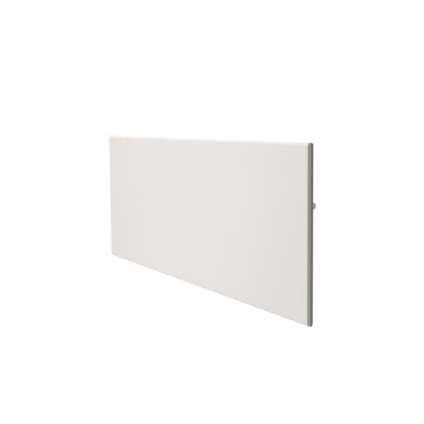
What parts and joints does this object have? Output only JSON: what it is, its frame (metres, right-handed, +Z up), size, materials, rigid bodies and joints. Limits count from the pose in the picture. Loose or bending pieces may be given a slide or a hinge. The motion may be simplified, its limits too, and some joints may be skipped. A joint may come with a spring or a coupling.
{
  "type": "electric panel heater",
  "caption": "Slim wall-hung electric convector: flat white front over a louvred casing, finned element, side control box with knob and rocker, lift-off hook bracket.",
  "frame": {"origin": "middle of the four wall screw slots of the bracket, on the wall plane", "axes": "+X along the heater, to the right as seen from the room, toward the knob; +Y into the wall; +Z up"},
  "size_m": [1.1, 0.084, 0.37],
  "materials": {
    "white_steel": "fine satin powder coat, warm white",
    "pale_plastic": "moulded plastic with a fine grain, pale grey",
    "knob_plastic": "moulded plastic with a fine grain, light grey",
    "base_plastic": "moulded plastic, pale grey",
    "dark_steel": "fine satin powder coat, grey",
    "casing_steel": "satin powder coat, grey",
    "louvre_steel": "satin powder coat, grey",
    "zinc_steel": "zinc-coated sheet",
    "bracket_steel": "zinc-coated sheet with a faint spangle",
    "screw_steel": "bright zinc",
    "aluminium": "mill finish",
    "sheath_steel": "heat-tinted stainless steel",
    "ceramic": "unglazed ceramic",
    "black_plastic": "moulded plastic, black",
    "rubber": "soft black rubber",
    "brass": "brass",
    "brown_lead": "silicone insulation, brown",
    "blue_lead": "silicone insulation, blue",
    "green_lead": "silicone insulation, yellow green",
    "circuit_board": "solder mask, green",
    "relay_blue": "moulded plastic, blue",
    "transformer_core": "wrapped winding and core",
    "shield_tin": "tinned shield",
    "lamp_lens": "translucent green lens"
  },
  "bodies": {
    "bracket": {"bracket_upright_left": "bracket_steel", "bracket_upright_right": "bracket_steel", "bracket_rail_upper": "bracket_steel", "bracket_rail_lower": "bracket_steel", "bracket_rivets": "screw_steel"},
    "heater": {"front_panel": "white_steel", "rear_cover": "dark_steel", "end_cap_left": "pale_plastic", "end_cap_right": "pale_plastic", "stiffener_rails": "zinc_steel", "cover_screws": "screw_steel", "casing_back": "casing_steel", "outlet_louvre": "louvre_steel", "inlet_louvre": "louvre_steel", "casing_end_left": "casing_steel", "casing_end_right": "casing_steel", "casing_screws": "screw_steel", "hook_plates": "zinc_steel", "heat_shield": "aluminium", "element_rod": "sheath_steel", "element_fins": "aluminium", "element_support_left": "zinc_steel", "element_support_right": "zinc_steel", "ceramic_bushes": "ceramic", "thermal_cutout": "black_plastic", "cutout_bracket": "zinc_steel", "lead_live": "brown_lead", "lead_link": "brown_lead", "lead_neutral": "blue_lead", "lead_earth": "green_lead", "earth_screw": "brass", "wire_bushing": "rubber", "control_base": "base_plastic", "base_screws": "screw_steel", "control_housing": "pale_plastic", "control_screws": "screw_steel", "control_board": "circuit_board", "mains_transformer": "transformer_core", "power_relay": "relay_blue", "smoothing_capacitors": "black_plastic", "terminal_block": "base_plastic", "wireless_module": "shield_tin", "encoder_body": "black_plastic", "encoder_nut": "screw_steel", "switch_frame": "black_plastic", "indicator_lens": "lamp_lens", "cable_gland": "base_plastic", "gland_locknut": "base_plastic", "gland_seal": "rubber", "gland_nut": "base_plastic", "room_sensor": "base_plastic"},
    "push_plunger": {"push_plunger": "base_plastic"},
    "control_knob": {"knob_shaft": "screw_steel", "control_knob": "knob_plastic"},
    "rocker": {"rocker": "black_plastic"}
  },
  "joints": [
    {"name": "heater_lift", "type": "slide", "parent": "bracket", "child": "heater", "axis": [0, 0, 1], "range_m": [0, 0.012]},
    {"name": "knob_press", "type": "slide", "parent": "heater", "child": "push_plunger", "axis": [-1, 0, 0], "range_m": [0, 0.001], "stiffness_N_per_m": 2500},
    {"name": "knob_turn", "type": "hinge", "parent": "push_plunger", "child": "control_knob", "pos_m": [0.518, -0.0608, 0.0573], "axis": [1, 0, 0], "continuous": true},
    {"name": "power_rocker", "type": "hinge", "parent": "heater", "child": "rocker", "pos_m": [0.516, -0.0608, -0.01], "axis": [0, -1, 0], "range_deg": [0, 14]}
  ]
}
